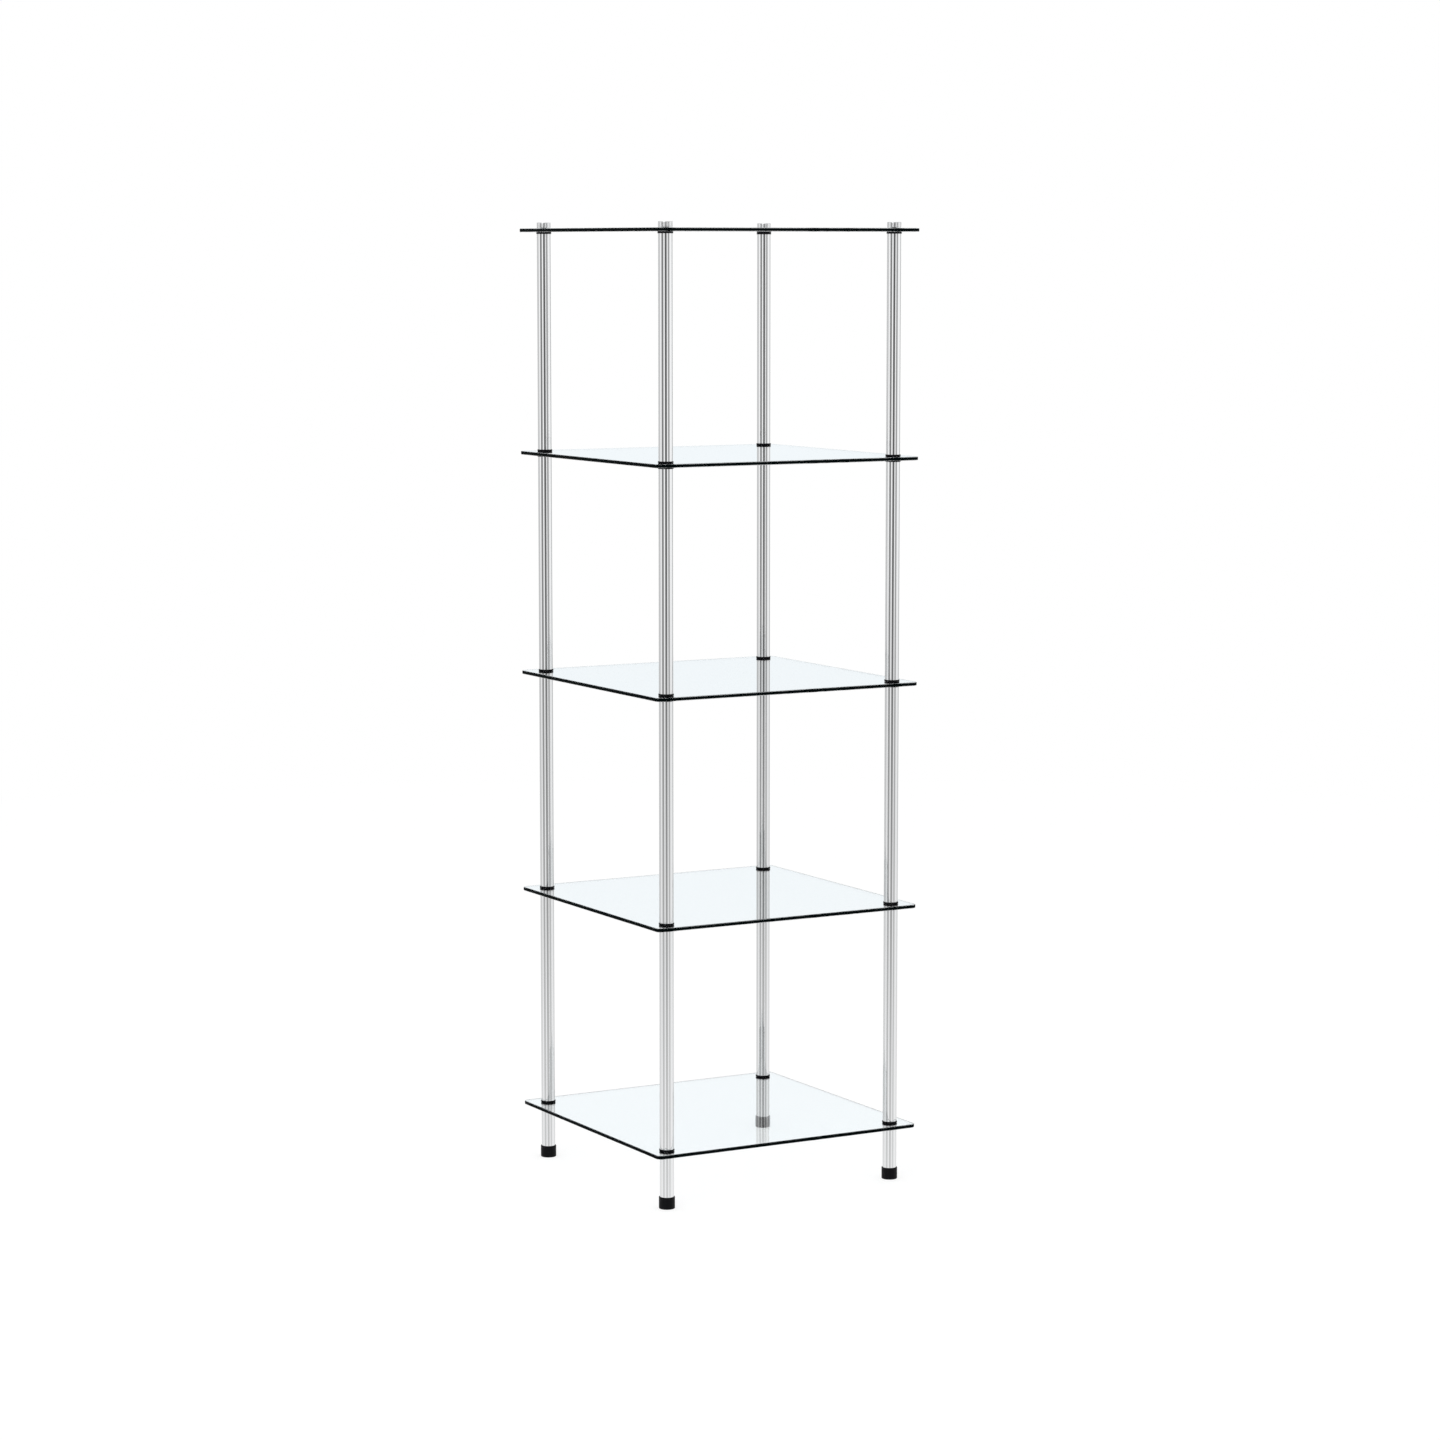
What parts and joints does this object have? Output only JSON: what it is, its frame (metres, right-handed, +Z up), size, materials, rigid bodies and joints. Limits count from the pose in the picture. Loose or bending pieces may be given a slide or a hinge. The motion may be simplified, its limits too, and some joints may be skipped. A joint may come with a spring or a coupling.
{
  "type": "glass etagere",
  "caption": "Tall free-standing display shelf: square clear glass shelves clamped between round polished steel tubes at the corners, with black washers and feet.",
  "frame": {"origin": "on the floor under the middle of the shelves, level with the undersides of the feet", "axes": "+Z up along the posts, +X to the right and +Y to the back when seen from the front"},
  "size_m": [0.4, 0.4, 1.3],
  "materials": {
    "glass": "clear tempered glass, polished rounded edges",
    "polished_steel": "polished stainless steel with faint lengthwise draw lines",
    "zinc_steel": "zinc-plated, threaded",
    "washer_black": "black moulded plastic, satin",
    "foot_black": "black moulded rubber, satin",
    "clear_gasket": "clear soft plastic"
  },
  "bodies": {
    "root": {"glass_shelf_1": "glass", "washers_below_shelf_1": "washer_black", "washers_above_shelf_1": "washer_black", "studs_shelf_1": "zinc_steel", "inserts_below_shelf_1": "zinc_steel", "inserts_above_shelf_1": "zinc_steel", "glass_shelf_2": "glass", "washers_below_shelf_2": "washer_black", "washers_above_shelf_2": "washer_black", "studs_shelf_2": "zinc_steel", "inserts_below_shelf_2": "zinc_steel", "inserts_above_shelf_2": "zinc_steel", "glass_shelf_3": "glass", "washers_below_shelf_3": "washer_black", "washers_above_shelf_3": "washer_black", "studs_shelf_3": "zinc_steel", "inserts_below_shelf_3": "zinc_steel", "inserts_above_shelf_3": "zinc_steel", "glass_shelf_4": "glass", "washers_below_shelf_4": "washer_black", "washers_above_shelf_4": "washer_black", "studs_shelf_4": "zinc_steel", "inserts_below_shelf_4": "zinc_steel", "inserts_above_shelf_4": "zinc_steel", "glass_shelf_5": "glass", "washers_below_shelf_5": "washer_black", "studs_shelf_5": "zinc_steel", "inserts_below_shelf_5": "zinc_steel", "cap_gaskets": "clear_gasket", "foot_front_left": "foot_black", "leg_tube_front_left": "polished_steel", "post_tube_front_left_1": "polished_steel", "post_tube_front_left_2": "polished_steel", "post_tube_front_left_3": "polished_steel", "post_tube_front_left_4": "polished_steel", "end_cap_front_left": "polished_steel", "foot_front_right": "foot_black", "leg_tube_front_right": "polished_steel", "post_tube_front_right_1": "polished_steel", "post_tube_front_right_2": "polished_steel", "post_tube_front_right_3": "polished_steel", "post_tube_front_right_4": "polished_steel", "end_cap_front_right": "polished_steel", "foot_back_left": "foot_black", "leg_tube_back_left": "polished_steel", "post_tube_back_left_1": "polished_steel", "post_tube_back_left_2": "polished_steel", "post_tube_back_left_3": "polished_steel", "post_tube_back_left_4": "polished_steel", "end_cap_back_left": "polished_steel", "foot_back_right": "foot_black", "leg_tube_back_right": "polished_steel", "post_tube_back_right_1": "polished_steel", "post_tube_back_right_2": "polished_steel", "post_tube_back_right_3": "polished_steel", "post_tube_back_right_4": "polished_steel", "end_cap_back_right": "polished_steel"}
  },
  "joints": []
}
